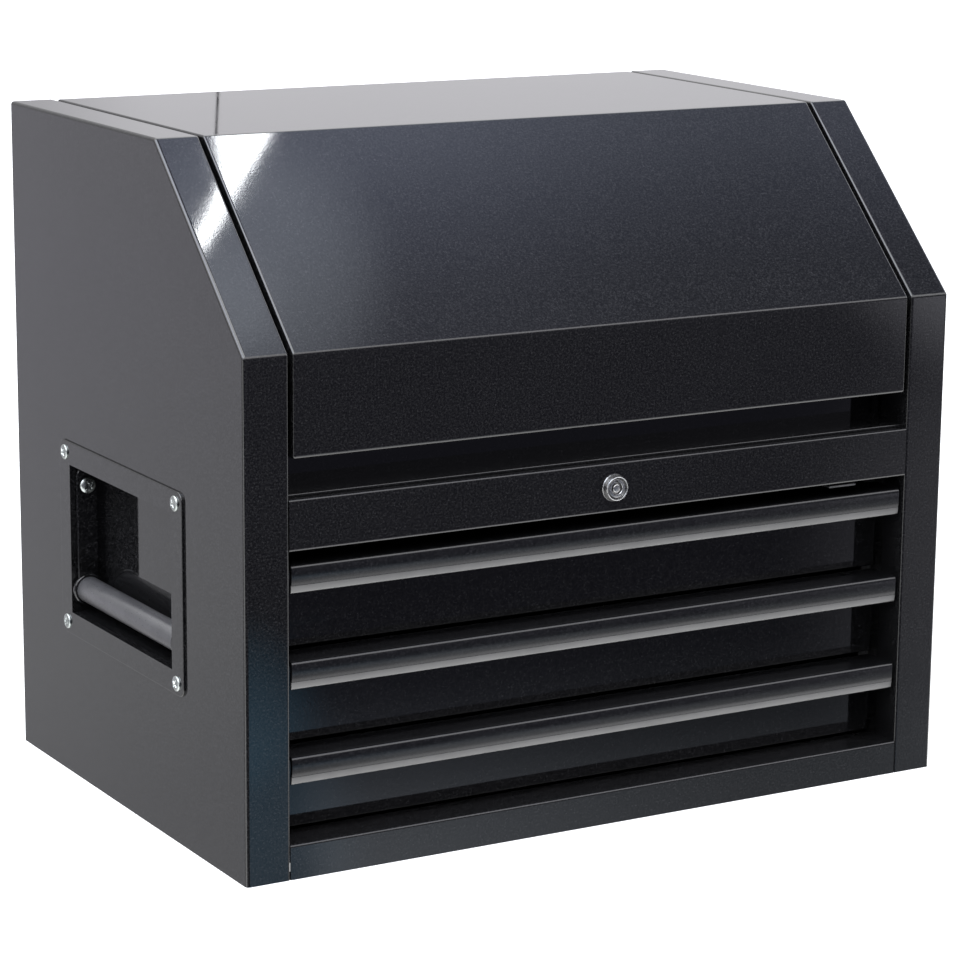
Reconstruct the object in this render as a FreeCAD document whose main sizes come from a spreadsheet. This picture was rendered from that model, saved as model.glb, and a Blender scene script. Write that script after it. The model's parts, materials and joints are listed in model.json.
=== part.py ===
import FreeCAD, Part
import Sketcher
import math
import os

# Steel slope-top tool chest: two hollow double-wall sides, a folded lid hinged
# at the back, a lock rail and three drawers on telescopic slides.
# Frame: origin at the middle of the flat base, +X to the chest's right,
# +Y to the back, +Z up. Millimetres. The front plane is y = -depth/2.

doc = FreeCAD.newDocument("tool_chest")
sheet = doc.addObject("Spreadsheet::Sheet", "Sizes")
sheet_row = [0]


class V:
    """A number together with the spreadsheet formula that gives it."""

    def __init__(self, n, s):
        self.n = float(n)
        self.s = s

    @staticmethod
    def of(o):
        return o if isinstance(o, V) else V(o, "(%s)" % repr(float(o)))

    def __add__(self, o):
        o = V.of(o)
        return V(self.n + o.n, "(%s+%s)" % (self.s, o.s))

    def __radd__(self, o):
        return V.of(o) + self

    def __sub__(self, o):
        o = V.of(o)
        return V(self.n - o.n, "(%s-%s)" % (self.s, o.s))

    def __rsub__(self, o):
        return V.of(o) - self

    def __mul__(self, o):
        o = V.of(o)
        return V(self.n * o.n, "(%s*%s)" % (self.s, o.s))

    def __rmul__(self, o):
        return V.of(o) * self

    def __truediv__(self, o):
        o = V.of(o)
        return V(self.n / o.n, "(%s/%s)" % (self.s, o.s))

    def __neg__(self):
        return V(-self.n, "(0-%s)" % self.s)


def vsqrt(v):
    return V(math.sqrt(v.n), "sqrt(%s)" % v.s)


def num(v):
    return v.n if isinstance(v, V) else float(v)


def size(name, value):
    sheet_row[0] += 1
    r = sheet_row[0]
    sheet.set("A%d" % r, name)
    sheet.set("B%d" % r, repr(value))
    sheet.setAlias("B%d" % r, name)
    return V(value, "Sizes." + name)


def bind(obj, prop, v):
    if isinstance(v, V):
        obj.setExpression(prop, v.s)


# ---------------------------------------------------------------- sizes
width = size("width", 660.0)
depth = size("depth", 444.0)
height = size("height", 565.0)
post_height = size("post_height", 417.0)      # where the slope starts, at the front
top_depth = size("top_depth", 290.0)          # flat top, front to back
post = size("post", 38.0)                     # side wall thickness, seen as the post
skin = size("skin", 1.2)
thin = size("thin", 1.0)
lip_depth = size("lip_depth", 27.0)
lid_gap = size("lid_gap", 4.0)
bend = size("bend", 2.9)
lip_bend = size("lip_bend", 1.9)
lid_bottom = size("lid_bottom", 335.5)
rail_top = size("rail_top", 304.5)
rail_bottom = size("rail_bottom", 263.5)
shelf_top = size("shelf_top", 307.0)
recess = size("recess", 41.0)
till_wall_top = size("till_wall_top", 352.0)
till_floor_z = size("till_floor_z", 262.3)
bottom_rail_top = size("bottom_rail_top", 28.5)
drawer_recess = size("drawer_recess", 35.0)
pitch = size("drawer_pitch", 76.75)
pull_bottom_low = size("pull_bottom_low", 76.0)
pull_height = size("pull_height", 22.5)
pull_gap = size("pull_gap", 3.0)
box_half = size("box_half", 280.4)            # half the drawer box's outside width
box_height = size("box_height", 55.0)
box_rear = size("box_rear", 194.0)
slide_up = size("slide_up", 23.0)             # slide centre above the box bottom
travel = size("travel", 340.0)
handle_y = size("handle_y", 6.5)
handle_z = size("handle_z", 208.5)
plate_w = size("plate_w", 242.0)
plate_t = size("plate_t", 167.0)
plate_thick = size("plate_thick", 2.0)
hole_w = size("hole_w", 200.0)
hole_t = size("hole_t", 128.0)
pocket_depth = size("pocket_depth", 29.0)
grip_radius = size("grip_radius", 11.0)
grip_in = size("grip_in", 12.0)
grip_z = size("grip_z", 164.0)
pivot_z = size("pivot_z", 254.5)              # the bail hangs plumb under its pivots
arm_gap = size("arm_gap", 1.2)
arm_thick = size("arm_thick", 3.0)
arm_half = size("arm_half", 9.0)
arm_foot = size("arm_foot", 13.4)
arm_heel = size("arm_heel", 16.8)
screw_dy = size("screw_dy", 109.0)
screw_dz = size("screw_dz", 73.5)
lock_z = size("lock_z", 284.0)
cam_radius = size("cam_radius", 10.0)
hinge_y = size("hinge_y", 224.6)
hinge_z = size("hinge_z", 545.5)
knuckle = size("knuckle", 2.8)
strut_body_y = size("strut_body_y", 170.0)
strut_body_z = size("strut_body_z", 350.0)
strut_lid_y = size("strut_lid_y", 155.0)
strut_lid_z = size("strut_lid_z", 528.0)
strut_x = size("strut_x", 274.0)
lid_open = size("lid_open_deg", 80.0)
doc.recompute()

hw = width / 2
yf = -depth / 2
yb = depth / 2
xi = hw - post                     # inner edge of the posts
slope_run = depth - top_depth
slope_rise = height - post_height
slope_len = vsqrt(slope_run * slope_run + slope_rise * slope_rise)
k_low = (slope_len - slope_rise) / slope_run
k_top = (slope_len - slope_run) / slope_rise
lid_half = xi - lid_gap            # half the lid's width


def outline_low(t):
    """Where the outline moved in by t turns from the post to the slope."""
    return (yf + t, post_height - k_low * t)


def outline_top(t):
    """Where the outline moved in by t turns from the slope to the top."""
    return (yf + slope_run + k_top * t, height - t)


def slope_at(a, t):
    """The point of the slope moved in by t that is a behind the front plane."""
    return (yf + a, post_height + (slope_rise * a - slope_len * t) / slope_run)


def on_outline(e):
    """Whether an edge lies on the outer outline of the front, the slope or the top."""
    for q in e.discretize(5):
        off = abs((q.y - yf.n) * slope_rise.n - (q.z - post_height.n) * slope_run.n) / slope_len.n
        if not (near(q.y, yf, 0.7) or near(q.z, height, 0.7) or (off < 0.7 and q.z > post_height.n - 4.0)):
            return False
    c = e.CenterOfMass
    return c.z > 1.0 and c.y < yb.n - 1.0


# ---------------------------------------------------------------- helpers
ALL = []


def spans(plane, lo, hi):
    if plane == "XZ_Plane":        # its normal is -Y
        return -V.of(hi), -V.of(lo)
    return V.of(lo), V.of(hi)


def sketch(body, name, plane, loops, level):
    sk = body.newObject("Sketcher::SketchObject", name)
    pl = [o for o in body.Origin.OriginFeatures if o.Role == plane][0]
    sk.AttachmentSupport = [(pl, "")]
    sk.MapMode = "FlatFace"
    sk.AttachmentOffset = FreeCAD.Placement(FreeCAD.Vector(0, 0, num(level)), FreeCAD.Rotation())
    bind(sk, "AttachmentOffset.Base.z", V.of(level))
    geo = []
    cons = []
    exprs = []

    def dim(kind, *args):
        v = V.of(args[-1])
        cons.append(Sketcher.Constraint(kind, *(args[:-1] + (v.n,))))
        exprs.append((len(cons) - 1, v.s))

    for loop in loops:
        if loop[0] == "circle":
            i = len(geo)
            geo.append(Part.Circle(FreeCAD.Vector(num(loop[1]), num(loop[2]), 0),
                                   FreeCAD.Vector(0, 0, 1), num(loop[3])))
            dim("DistanceX", -1, 1, i, 3, loop[1])
            dim("DistanceY", -1, 1, i, 3, loop[2])
            dim("Radius", i, loop[3])
            continue
        first = len(geo)
        n = len(loop)
        for i in range(n):
            a = loop[i]
            b = loop[(i + 1) % n]
            geo.append(Part.LineSegment(FreeCAD.Vector(num(a[0]), num(a[1]), 0),
                                        FreeCAD.Vector(num(b[0]), num(b[1]), 0)))
        for i in range(n):
            cons.append(Sketcher.Constraint("Coincident", first + i, 2, first + (i + 1) % n, 1))
        for i in range(n):
            dim("DistanceX", -1, 1, first + i, 1, loop[i][0])
            dim("DistanceY", -1, 1, first + i, 1, loop[i][1])
    sk.addGeometry(geo, False)
    sk.addConstraint(cons)
    for i, s in exprs:
        sk.setExpression("Constraints[%d]" % i, s)
    return sk


def new_body(label):
    b = doc.addObject("PartDesign::Body", label)
    b.Label = label
    ALL.append(b)
    return b


def pad(body, name, plane, loops, lo, hi):
    n_lo, n_hi = spans(plane, lo, hi)
    sk = sketch(body, name + "_sketch", plane, loops, n_lo)
    p = body.newObject("PartDesign::Pad", name)
    p.Profile = sk
    p.Length = (n_hi - n_lo).n
    bind(p, "Length", n_hi - n_lo)
    doc.recompute([sk, p])
    return p


def pocket(body, name, plane, loops, lo, hi):
    n_lo, n_hi = spans(plane, lo, hi)
    before = body.Tip.Shape.Volume
    sk = sketch(body, name + "_sketch", plane, loops, n_hi)
    p = body.newObject("PartDesign::Pocket", name)
    p.Profile = sk
    p.Length = (n_hi - n_lo).n
    bind(p, "Length", n_hi - n_lo)
    doc.recompute([sk, p])
    if p.Shape.isNull() or p.Shape.Volume > before - 1e-3:
        raise RuntimeError("pocket %s of %s cuts nothing" % (name, body.Label))
    return p


def fillet(body, name, test, r):
    base = body.Tip
    names = []
    for i, e in enumerate(base.Shape.Edges):
        if test(e):
            names.append("Edge%d" % (i + 1))
    if not names:
        raise RuntimeError("no edges for %s of %s" % (name, body.Label))
    f = body.newObject("PartDesign::Fillet", name)
    f.Base = (base, names)
    f.Radius = num(r)
    bind(f, "Radius", V.of(r))
    doc.recompute([f])
    if f.Shape.isNull() or "Invalid" in f.State:
        raise RuntimeError("fillet %s of %s failed" % (name, body.Label))
    return f


def along(e, axis):
    if not isinstance(e.Curve, Part.Line):
        return False
    d = e.Vertexes[-1].Point - e.Vertexes[0].Point
    d.normalize()
    return abs(getattr(d, axis)) > 0.999


def near(a, b, tol=1e-3):
    return abs(a - num(b)) < tol


def rect(u0, u1, v0, v1):
    return [(u0, v0), (u1, v0), (u1, v1), (u0, v1)]


def box(x0, x1, y0, y1, z0, z1, name="block"):
    b = doc.addObject("Part::Box", name)
    for prop, v in (("Length", V.of(x1) - x0), ("Width", V.of(y1) - y0), ("Height", V.of(z1) - z0)):
        setattr(b, prop, v.n)
        bind(b, prop, v)
    b.Placement = FreeCAD.Placement(FreeCAD.Vector(num(x0), num(y0), num(z0)), FreeCAD.Rotation())
    for prop, v in (("x", x0), ("y", y0), ("z", z0)):
        bind(b, "Placement.Base." + prop, V.of(v))
    return b


AXES = {"x": FreeCAD.Rotation(FreeCAD.Vector(0, 1, 0), 90),
        "-x": FreeCAD.Rotation(FreeCAD.Vector(0, 1, 0), -90),
        "y": FreeCAD.Rotation(FreeCAD.Vector(1, 0, 0), -90),
        "-y": FreeCAD.Rotation(FreeCAD.Vector(1, 0, 0), 90),
        "z": FreeCAD.Rotation()}


def rod(x, y, z, axis, r, length, name="rod"):
    c = doc.addObject("Part::Cylinder", name)
    c.Radius = num(r)
    c.Height = num(length)
    bind(c, "Radius", V.of(r))
    bind(c, "Height", V.of(length))
    c.Placement = FreeCAD.Placement(FreeCAD.Vector(num(x), num(y), num(z)), AXES[axis])
    for prop, v in (("x", x), ("y", y), ("z", z)):
        bind(c, "Placement.Base." + prop, V.of(v))
    return c


def cone(x, y, z, axis, r1, r2, length, name="cone"):
    c = doc.addObject("Part::Cone", name)
    c.Radius1 = num(r1)
    c.Radius2 = num(r2)
    c.Height = num(length)
    c.Placement = FreeCAD.Placement(FreeCAD.Vector(num(x), num(y), num(z)), AXES[axis])
    for prop, v in (("x", x), ("y", y), ("z", z)):
        bind(c, "Placement.Base." + prop, V.of(v))
    return c


def fuse(name, parts, node=False):
    f = doc.addObject("Part::MultiFuse", name)
    f.Shapes = parts
    f.Refine = True
    if node:
        f.Label = name
        ALL.append(f)
    return f


def cut(name, base, tools, node=False):
    tool = tools[0] if len(tools) == 1 else fuse(name + "_tools", tools)
    c = doc.addObject("Part::Cut", name)
    c.Base = base
    c.Tool = tool
    if node:
        c.Label = name
        ALL.append(c)
    return c


def group(name, parts):
    g = doc.addObject("Part::Compound", name)
    g.Links = parts
    g.Label = name
    ALL.append(g)
    return g


def inner_body(label):
    b = doc.addObject("PartDesign::Body", label)
    b.Label = label
    return b


def sided(s, a, b):
    """The x range from a to b on the right (s = 1) or mirrored on the left."""
    a, b = V.of(a), V.of(b)
    return (a, b) if s > 0 else (-b, -a)


# ---------------------------------------------------------------- drawer levels
# number, pull bottom, face bottom, box bottom
LEVELS = []
for i in range(3):
    pb = pull_bottom_low + pitch * (2 - i)
    if i < 2:
        fb = pb - pitch + pull_height + pull_gap
    else:
        fb = bottom_rail_top + 2.0
    bb = pull_bottom_low - 43.7 + pitch * (2 - i)
    LEVELS.append((i + 1, pb, fb, bb))

tab_low = box_height + 2.5          # lock tab above the box bottom, unlocked
tab_tall = 8.5

# lock mechanism points
cam_s = cam_radius * 0.70710678
throw = cam_s * 2.0                 # travel of the cross bar and the side rod
crank_x, crank_z = V.of(313.0), V.of(270.0)
arm = throw                         # 60 degrees of crank give the same travel
a_x, a_z = crank_x + arm * 0.5, crank_z + arm * 0.8660254
b_x, b_z = crank_x - arm * 0.8660254, crank_z + arm * 0.5

# ---------------------------------------------------------------- side shells
for s, label in ((1, "side_shell_right"), (-1, "side_shell_left")):
    b = new_body(label)
    lo, hi = sided(s, xi, hw)
    pad(b, label + "_block", "YZ_Plane",
        [[(yf, V.of(0)), (yb, V.of(0)), (yb, height), outline_top(0.0), outline_low(0.0)]], lo, hi)
    fillet(b, label + "_bends", lambda e: (along(e, "x") and e.CenterOfMass.z > 1.0
                                           and e.CenterOfMass.y < num(yb) - 1.0), bend * 1.2)
    fillet(b, label + "_edges", lambda e: all(near(v.X, s * hw.n, 1e-4) for v in e.Vertexes)
           and e.CenterOfMass.z > 1.0 and near(e.CenterOfMass.x, s * hw.n, 1e-3)
           and e.CenterOfMass.y < num(yb) - 1.0, bend)
    lo, hi = sided(s, xi - 1.0, hw - skin)
    pocket(b, label + "_hollow", "YZ_Plane",
           [[(yf + skin, skin), (yb - skin, skin), (yb - skin, height - skin),
             outline_top(skin), outline_low(skin)]], lo, hi)
    lo, hi = sided(s, xi, xi + skin)
    t = skin + 14.0
    a = skin + lip_depth
    p = slope_at(a, t)
    pad(b, label + "_lip", "YZ_Plane",
        [[(yf + 0.6, skin / 2), (yf + 0.6, post_height - k_low * 0.6), outline_top(0.6),
          (yb - 0.6, height - 0.6), (yb - 0.6, height - t), outline_top(t), p, (yf + a, skin / 2)]], lo, hi)
    fillet(b, label + "_lip_bends", lambda e: all(near(v.X, s * xi.n, 1e-4) for v in e.Vertexes)
           and on_outline(e), lip_bend)
    # handle opening and the four screw holes
    lo, hi = sided(s, hw - skin - 2.0, hw + 1.0)
    pocket(b, label + "_opening", "YZ_Plane",
           [rect(handle_y - hole_w / 2 - 1.1, handle_y + hole_w / 2 + 1.1,
                 handle_z - hole_t / 2 - 1.1, handle_z + hole_t / 2 + 1.1)], lo, hi)
    pocket(b, label + "_holes", "YZ_Plane",
           [("circle", handle_y + i * screw_dy, handle_z + j * screw_dz, V.of(2.6))
            for i in (-1, 1) for j in (-1, 1)], lo, hi)

# ---------------------------------------------------------------- side liners
for s, label in ((1, "side_liner_right"), (-1, "side_liner_left")):
    b = new_body(label)
    lo, hi = sided(s, xi + 1.4, xi + 1.4 + thin)
    t = skin + 1.0
    pad(b, label + "_sheet", "YZ_Plane",
        [[(yf + t, t), (yb - t, t), (yb - t, height - t), outline_top(t), outline_low(t)]], lo, hi)
    if s > 0:
        lo, hi = sided(s, xi, xi + 3.5)
        slots = []
        for n, pb, fb, bb in LEVELS:
            slots.append(rect(V.of(-178.0), V.of(-172.0), bb + tab_low - throw - 1.5, bb + tab_low + tab_tall + 1.5))
        slots.append(rect(V.of(-194.0), V.of(-188.0), V.of(264.5), V.of(293.0)))
        slots.append(("circle", V.of(-190.6), V.of(345.0), V.of(3.8)))
        pocket(b, label + "_slots", "YZ_Plane", slots, lo, hi)

# ---------------------------------------------------------------- back, base, rails
b = new_body("back_panel")
wi = xi - 0.3
pad(b, "back_block", "XZ_Plane", [rect(-wi, wi, V.of(1.3), hinge_z - 4.0)], yb - 16.0, yb)
fillet(b, "back_bends", lambda e: near(e.CenterOfMass.y, yb) and (along(e, "z") or along(e, "x")), 1.6)
pocket(b, "back_hollow", "XZ_Plane", [rect(-wi + skin, wi - skin, V.of(2.5), hinge_z - 5.2)], yb - 17.0, yb - skin)
# two shallow stiffening beads pressed outwards would stand proud; they are pressed in
for k, z in ((0, 150.0), (1, 350.0)):
    pocket(b, "back_bead_%d" % k, "XZ_Plane", [rect(-wi + 60.0, wi - 60.0, V.of(z), V.of(z + 40.0))], yb - 0.5, yb + 1.0)

b = new_body("base_pan")
pad(b, "base_block", "XY_Plane", [rect(-wi, wi, yf + drawer_recess + 2.5, yb - 17.0)], V.of(0.0), V.of(18.0))
pocket(b, "base_hollow", "XY_Plane", [rect(-wi + skin, wi - skin, yf + drawer_recess + 2.5 + skin, yb - 17.0 - skin)], skin, V.of(19.0))

b = new_body("front_bottom_rail")
ledge = yf + drawer_recess + 1.0
pad(b, "bottom_rail_fold", "YZ_Plane",
    [[(yf, V.of(0.0)), (yf + 16.0, V.of(0.0)), (yf + 16.0, skin), (yf + skin, skin),
      (yf + skin, bottom_rail_top - skin), (ledge - skin, bottom_rail_top - skin), (ledge - skin, V.of(2.0)),
      (ledge, V.of(2.0)), (ledge, bottom_rail_top), (yf, bottom_rail_top)]], -wi, wi)
fillet(b, "bottom_rail_bends", lambda e: along(e, "x") and near(e.CenterOfMass.y, yf)
       and e.CenterOfMass.z > 1.0, 2.0)

b = new_body("lock_rail")
pad(b, "lock_rail_fold", "YZ_Plane",
    [[(yf, rail_bottom), (yf + 26.0, rail_bottom), (yf + 26.0, rail_bottom + skin), (yf + skin, rail_bottom + skin),
      (yf + skin, rail_top - skin), (yf + 4.8, rail_top - skin), (yf + 4.8, rail_top - 9.0), (yf + 6.0, rail_top - 9.0),
      (yf + 6.0, rail_top), (yf, rail_top)]], -wi, wi)
fillet(b, "lock_rail_bends", lambda e: along(e, "x") and near(e.CenterOfMass.y, yf), 2.0)
pocket(b, "lock_hole", "XZ_Plane", [("circle", V.of(0.0), lock_z, V.of(9.6))], yf - 2.0, yf + 3.0)

b = new_body("till_front_panel")
yp = yf + recess
ys = yf + 8.0
pad(b, "till_front_fold", "YZ_Plane",
    [[(ys, shelf_top), (ys, shelf_top - 11.0), (ys + skin, shelf_top - 11.0), (ys + skin, shelf_top - skin),
      (yp + skin, shelf_top - skin), (yp + skin, till_wall_top - skin), (yp + 11.0, till_wall_top - skin),
      (yp + 11.0, till_wall_top - 9.0), (yp + 12.2, till_wall_top - 9.0), (yp + 12.2, till_wall_top),
      (yp, till_wall_top), (yp, shelf_top)]], -wi, wi)
fillet(b, "till_front_bends", lambda e: along(e, "x") and (
    (near(e.CenterOfMass.y, ys) and near(e.CenterOfMass.z, shelf_top))
    or (near(e.CenterOfMass.y, yp) and near(e.CenterOfMass.z, till_wall_top))), 1.1)

b = new_body("till_floor")
pad(b, "till_floor_block", "XY_Plane", [rect(-wi + 0.3, wi - 0.3, yf + 27.0, yb - 17.0)], till_floor_z, till_floor_z + 40.0)
pocket(b, "till_floor_hollow", "XY_Plane",
       [rect(-wi + 0.3 + skin, wi - 0.3 - skin, yf + 27.0 + skin, yb - 17.0 - skin)], till_floor_z + skin, till_floor_z + 41.0)
# the front edge stays low under the lock bar, and the right wall is notched for it
pocket(b, "till_floor_front", "XY_Plane", [rect(-wi - 1.0, wi + 1.0, yf + 26.0, yf + 40.0)],
       till_floor_z + 2.4, till_floor_z + 41.0)

pocket(b, "till_floor_notch", "XY_Plane", [rect(V.of(213.0), V.of(242.0), yf + 25.0, yf + 35.0)],
       till_floor_z - 1.0, till_floor_z + 4.0)

# ---------------------------------------------------------------- handles
for s, side in ((1, "right"), (-1, "left")):
    b = new_body("handle_plate_" + side)
    lo, hi = sided(s, hw, hw + plate_thick)
    pad(b, "handle_plate_%s_sheet" % side, "YZ_Plane",
        [rect(handle_y - plate_w / 2, handle_y + plate_w / 2, handle_z - plate_t / 2, handle_z + plate_t / 2)], lo, hi)
    fillet(b, "handle_plate_%s_corners" % side, lambda e: along(e, "x"), 8.0)
    fillet(b, "handle_plate_%s_rim" % side, lambda e: near(e.CenterOfMass.x, s * (hw.n + plate_thick.n), 1e-3)
           and all(near(v.X, s * (hw.n + plate_thick.n), 1e-4) for v in e.Vertexes), 0.9)
    lo, hi = sided(s, hw - 1.0, hw + plate_thick + 1.0)
    pocket(b, "handle_plate_%s_opening" % side, "YZ_Plane",
           [rect(handle_y - hole_w / 2, handle_y + hole_w / 2, handle_z - hole_t / 2, handle_z + hole_t / 2)]
           + [("circle", handle_y + i * screw_dy, handle_z + j * screw_dz, V.of(2.6)) for i in (-1, 1) for j in (-1, 1)], lo, hi)

    b = new_body("handle_pocket_" + side)
    name = "handle_pocket_" + side
    xo = hw - pocket_depth          # inside face of the back wall
    lo, hi = sided(s, xo - thin, hw - 0.05)
    pad(b, name + "_block", "YZ_Plane",
        [rect(handle_y - hole_w / 2 - thin, handle_y + hole_w / 2 + thin,
              handle_z - hole_t / 2 - thin, handle_z + hole_t / 2 + thin)], lo, hi)
    lo, hi = sided(s, hw - skin - thin - 0.1, hw - skin - 0.1)
    pad(b, name + "_flange", "YZ_Plane",
        [rect(handle_y - plate_w / 2 + 3.0, handle_y + plate_w / 2 - 3.0,
              handle_z - plate_t / 2 + 3.0, handle_z + plate_t / 2 - 3.0)], lo, hi)
    lo, hi = sided(s, xo, hw + 1.0)
    pocket(b, name + "_hollow", "YZ_Plane",
           [rect(handle_y - hole_w / 2, handle_y + hole_w / 2, handle_z - hole_t / 2, handle_z + hole_t / 2)], lo, hi)
    lo, hi = sided(s, hw - skin - thin - 1.0, hw)
    pocket(b, name + "_holes", "YZ_Plane",
           [("circle", handle_y + i * screw_dy, handle_z + j * screw_dz, V.of(2.3)) for i in (-1, 1) for j in (-1, 1)], lo, hi)
    px = (hw - grip_in) * s
    pocket(b, name + "_bolt_holes", "XZ_Plane", [("circle", px, pivot_z, V.of(3.1))],
           handle_y - hole_w / 2 - 2.0, handle_y + hole_w / 2 + 2.0)

    # the bail: two flat arms hanging on the pivot bolts, with the grip tube between them
    reach = arm_gap + arm_thick
    b = new_body("handle_grip_" + side)
    pad(b, "handle_grip_%s_tube" % side, "XZ_Plane", [("circle", px, grip_z, grip_radius)],
        handle_y - hole_w / 2 + reach, handle_y + hole_w / 2 - reach)
    pocket(b, "handle_grip_%s_bore" % side, "XZ_Plane", [("circle", px, grip_z, grip_radius - 1.5)],
           handle_y - hole_w / 2, handle_y + hole_w / 2)
    arms = []
    for i, end in ((-1, "front"), (1, "rear")):
        ye = handle_y + hole_w / 2 * i
        out, inn = ye - arm_gap * i, ye - reach * i
        y0, y1 = (out, inn) if i < 0 else (inn, out)
        strip = box(px - arm_half, px + arm_half, y0, y1, grip_z, pivot_z + arm_heel - arm_half)
        head = rod(px, y0, pivot_z + arm_heel - arm_half, "y", arm_half, arm_thick)
        foot = rod(px, y0, grip_z, "y", arm_foot, arm_thick)
        spigot = rod(px, inn, grip_z, "-y" if i > 0 else "y", grip_radius - 1.5, 6.0)
        arms.append(cut("handle_arm_%s_%s" % (side, end), fuse("handle_arm_%s_%s_solid" % (side, end), [strip, head, foot, spigot]),
                        [rod(px, y0 - 1.0, pivot_z, "y", 3.3, arm_thick + 2.0)]))
    group("handle_arms_" + side, arms)

heads = []
for s in (1, -1):
    ax = "x" if s > 0 else "-x"
    back = "-x" if s > 0 else "x"
    for i in (-1, 1):
        for j in (-1, 1):
            y, z = handle_y + i * screw_dy, handle_z + j * screw_dz
            x = (hw + plate_thick) * s
            heads.append(rod(x, y, z, ax, 6.4, 1.0))
            heads.append(cone(x + 1.0 * s, y, z, ax, 6.4, 3.6, 1.5))
            heads.append(rod(x, y, z, back, 2.2, 10.0))
fuse("handle_plate_screws", heads, node=True)

# pivot bolts: washer on the end wall, shank through the arm, domed head, nut behind the wall
heads = []
for s in (1, -1):
    for i in (-1, 1):
        y = handle_y + hole_w / 2 * i
        ax = "-y" if i > 0 else "y"
        back = "y" if i > 0 else "-y"
        x = (hw - grip_in) * s
        heads.append(rod(x, y, pivot_z, ax, 8.2, 1.0))
        heads.append(rod(x, y, pivot_z, ax, 3.0, 5.0))
        heads.append(rod(x, y - 4.4 * i, pivot_z, ax, 7.0, 2.4))
        heads.append(cone(x, y - 6.8 * i, pivot_z, ax, 7.0, 4.6, 1.5))
        heads.append(rod(x, y, pivot_z, back, 3.0, 8.0))
        heads.append(rod(x, y + 1.0 * i, pivot_z, back, 5.6, 4.5))
fuse("handle_pivot_bolts", heads, node=True)

# ---------------------------------------------------------------- lid
b = new_body("lid_shell")
low, top = outline_low(0.0), outline_top(0.0)
t = 20.0
front_back = yf + 38.0
pad(b, "lid_block", "YZ_Plane",
    [[(yb, height), top, low, (yf, lid_bottom), (front_back, lid_bottom), (front_back, slope_at(38.0, t)[1]),
      outline_top(t), (yb - 9.0, height - t), (yb, hinge_z + 5.5)]], -lid_half, lid_half)
fillet(b, "lid_bends", lambda e: along(e, "x") and (
    near(e.CenterOfMass.z, height) or near(e.CenterOfMass.z, post_height)
    or (near(e.CenterOfMass.z, lid_bottom) and near(e.CenterOfMass.y, yf))), 2.7)


def lid_side_edge(e):
    """Outer edges of the lid's two ends: along the top, the slope and the front."""
    if not near(abs(e.CenterOfMass.x), lid_half, 1e-3):
        return False
    if not all(near(abs(v.X), lid_half, 1e-4) for v in e.Vertexes):
        return False
    c = e.CenterOfMass
    off = abs((c.y - yf.n) * slope_rise.n - (c.z - post_height.n) * slope_run.n) / slope_len.n
    return (near(c.z, height, 0.6) or near(c.y, yf, 0.6) or (off < 0.6 and c.z > post_height.n - 3.0)
            or (near(c.z, lid_bottom, 0.6) and c.y < yf.n + 3.0))


fillet(b, "lid_edges", lid_side_edge, 1.9)
pocket(b, "lid_hollow", "YZ_Plane",
       [[(yb - skin, height - skin), outline_top(skin), outline_low(skin), (yf + skin, lid_bottom + skin),
         (front_back + 1.0, lid_bottom + skin), (front_back + 1.0, post_height - 10.0), (yb - skin, post_height - 10.0)]],
       -lid_half + skin, lid_half - skin)
pocket(b, "lid_hem_back", "YZ_Plane",
       [rect(yf + 14.0, front_back + 1.0, lid_bottom - 1.0, lid_bottom + skin + 1.0)], -lid_half + skin, lid_half - skin)
pad(b, "lid_hem_turn", "YZ_Plane",
    [rect(yf + 14.0 - skin, yf + 14.0, lid_bottom + skin / 2, lid_bottom + 6.0)], -lid_half + skin, lid_half - skin)
pocket(b, "lid_bolt_hole", "YZ_Plane", [("circle", V.of(-190.6), V.of(345.0), V.of(3.8))], lid_half - 4.0, lid_half + 1.0)

b = inner_body("lid_top_stiffener")
lid_stiff = [b]
zt = height - skin
pad(b, "lid_stiffener_fold", "YZ_Plane",
    [[(V.of(-2.0), zt), (V.of(-2.0), zt - skin), (V.of(12.0), zt - skin), (V.of(12.0), zt - 14.0),
      (V.of(48.0), zt - 14.0), (V.of(48.0), zt - skin), (V.of(62.0), zt - skin), (V.of(62.0), zt),
      (V.of(46.8), zt), (V.of(46.8), zt - 12.8), (V.of(13.2), zt - 12.8), (V.of(13.2), zt)]],
    -lid_half + 24.0, lid_half - 24.0)

b = inner_body("lid_front_angle")
lid_stiff.append(b)
pad(b, "lid_front_angle_fold", "YZ_Plane",
    [[(yf + skin, V.of(356.6)), (yf + 52.0, V.of(356.6)), (yf + 52.0, V.of(357.8)), (yf + skin * 2, V.of(357.8)),
      (yf + skin * 2, V.of(376.0)), (yf + skin, V.of(376.0))]], -lid_half + 14.0, lid_half - 14.0)
group("lid_stiffeners", lid_stiff)
pads = []
for x in (-220.0, -75.0, 75.0, 220.0):
    pads.append(rod(V.of(x), yp + 6.0, till_wall_top, "z", 5.0, 4.2))
fuse("lid_bumpers", pads, node=True)

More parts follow.
